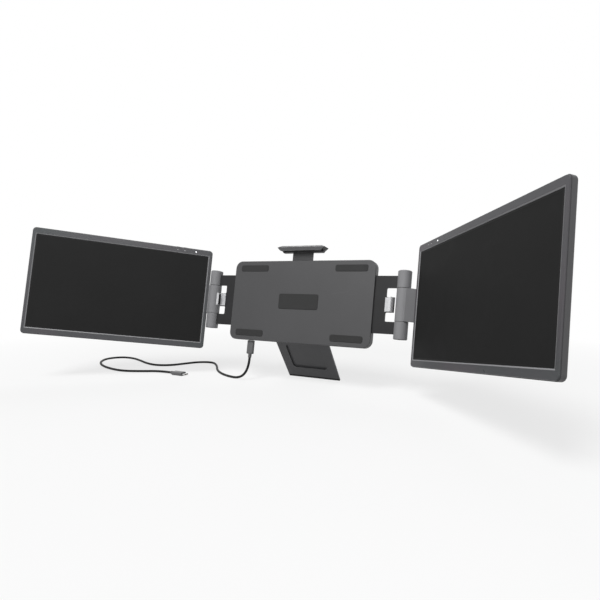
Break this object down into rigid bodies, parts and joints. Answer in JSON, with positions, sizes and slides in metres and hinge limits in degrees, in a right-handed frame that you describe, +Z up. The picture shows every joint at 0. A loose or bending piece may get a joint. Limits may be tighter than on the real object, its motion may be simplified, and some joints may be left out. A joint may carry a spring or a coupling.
{
  "type": "laptop screen extender",
  "caption": "Fold-out screen extender for a laptop: a back housing clips over the lid and carries sliding arms, each with a hinged portable monitor, a kickstand and a USB-C cable.",
  "frame": {"origin": "centre of the front face of the middle rest pad, where the back of the laptop's lid lies", "axes": "+X to the right of a user who faces the screens, +Y away from the user, +Z up; the assembly leans back 10.4 degrees with the lid"},
  "size_m": [0.8382, 0.2982, 0.252],
  "materials": {
    "front_cover": "moulded satin black",
    "back_cover": "moulded satin black, fine texture",
    "silicone": "soft matt silicone",
    "rail": "natural nylon",
    "board": "green solder mask",
    "port_metal": "stamped steel",
    "screw": "blackened steel",
    "steel": "ground steel",
    "cable": "matt black jacket",
    "plug_grip": "dark grey moulding",
    "clip": "satin grey",
    "clip_bar": "satin dark grey",
    "arm": "satin dark grey",
    "barrel": "satin grey",
    "washer": "acetal",
    "hook": "light grey satin",
    "shell": "moulded satin black",
    "bezel": "satin dark grey",
    "glass": "anti-glare film",
    "backlight": "pressed tray",
    "light": "clear light pipe",
    "key": "satin black",
    "stand": "satin dark grey"
  },
  "bodies": {
    "housing": {"housing_front_cover": "front_cover", "housing_back_cover": "back_cover", "lid_rest_pads": "silicone", "slide_rails": "rail", "hub_board": "board", "hub_usb_port": "port_metal", "housing_screws": "screw", "stand_pin": "steel", "usb_cable": "cable", "housing_plug_grip": "plug_grip", "housing_plug_shell": "port_metal", "laptop_plug_grip": "plug_grip", "laptop_plug_shell": "port_metal"},
    "top_clip": {"clip_bar": "clip_bar", "clip_hook": "clip", "clip_pad": "silicone"},
    "kickstand": {"stand_leg": "stand", "stand_foot": "silicone"},
    "left_arm": {"left_arm_plate": "arm", "left_upper_knuckle": "barrel", "left_lower_knuckle": "barrel", "left_hinge_shaft": "steel", "left_hinge_washers": "washer", "left_tension_nut": "steel", "left_knuckle_caps": "barrel", "left_side_hook": "hook", "left_side_pad": "silicone", "left_slide_shoes": "washer"},
    "left_screen": {"left_rear_shell": "shell", "left_bezel": "bezel", "left_screen_glass": "glass", "left_backlight_unit": "backlight", "left_driver_board": "board", "left_hinge_leaf": "barrel", "left_leaf_screws": "screw", "left_status_light": "light"},
    "right_arm": {"right_arm_plate": "arm", "right_upper_knuckle": "barrel", "right_lower_knuckle": "barrel", "right_hinge_shaft": "steel", "right_hinge_washers": "washer", "right_tension_nut": "steel", "right_knuckle_caps": "barrel", "right_side_hook": "hook", "right_side_pad": "silicone", "right_slide_shoes": "washer"},
    "right_screen": {"right_rear_shell": "shell", "right_bezel": "bezel", "right_screen_glass": "glass", "right_backlight_unit": "backlight", "right_driver_board": "board", "right_hinge_leaf": "barrel", "right_leaf_screws": "screw", "right_status_light": "light"},
    "left_power_key": {"left_power_key": "key"},
    "left_menu_key": {"left_menu_key": "key"},
    "right_power_key": {"right_power_key": "key"},
    "right_menu_key": {"right_menu_key": "key"}
  },
  "joints": [
    {"name": "left_arm_slide", "type": "slide", "parent": "housing", "child": "left_arm", "axis": [-1, 0, 0], "range_m": [-0.012, 0.048]},
    {"name": "right_arm_slide", "type": "slide", "parent": "housing", "child": "right_arm", "axis": [1, 0, 0], "range_m": [-0.012, 0.048]},
    {"name": "left_screen_hinge", "type": "hinge", "parent": "left_arm", "child": "left_screen", "pos_m": [-0.168, 0.00521, -0.00096], "axis": [0, 0.1809, 0.9835], "range_deg": [-94, 140.8]},
    {"name": "right_screen_hinge", "type": "hinge", "parent": "right_arm", "child": "right_screen", "pos_m": [0.168, 0.00521, -0.00096], "axis": [0, 0.1809, 0.9835], "range_deg": [-118, 104.5]},
    {"name": "top_clip_slide", "type": "slide", "parent": "housing", "child": "top_clip", "axis": [0, 0.1809, 0.9835], "range_m": [-0.012, 0.05]},
    {"name": "kickstand_hinge", "type": "hinge", "parent": "housing", "child": "kickstand", "pos_m": [0, 0.00364, -0.05151], "axis": [1, 0, 0], "range_deg": [0, 135.98]},
    {"name": "left_power_key_press", "type": "slide", "parent": "left_screen", "child": "left_power_key", "axis": [0, -0.1809, -0.9835], "range_m": [0, 0.0005], "stiffness_N_per_m": 600},
    {"name": "left_menu_key_press", "type": "slide", "parent": "left_screen", "child": "left_menu_key", "axis": [0, -0.1809, -0.9835], "range_m": [0, 0.0005], "stiffness_N_per_m": 600},
    {"name": "right_power_key_press", "type": "slide", "parent": "right_screen", "child": "right_power_key", "axis": [0, -0.1809, -0.9835], "range_m": [0, 0.0005], "stiffness_N_per_m": 600},
    {"name": "right_menu_key_press", "type": "slide", "parent": "right_screen", "child": "right_menu_key", "axis": [0, -0.1809, -0.9835], "range_m": [0, 0.0005], "stiffness_N_per_m": 600}
  ]
}
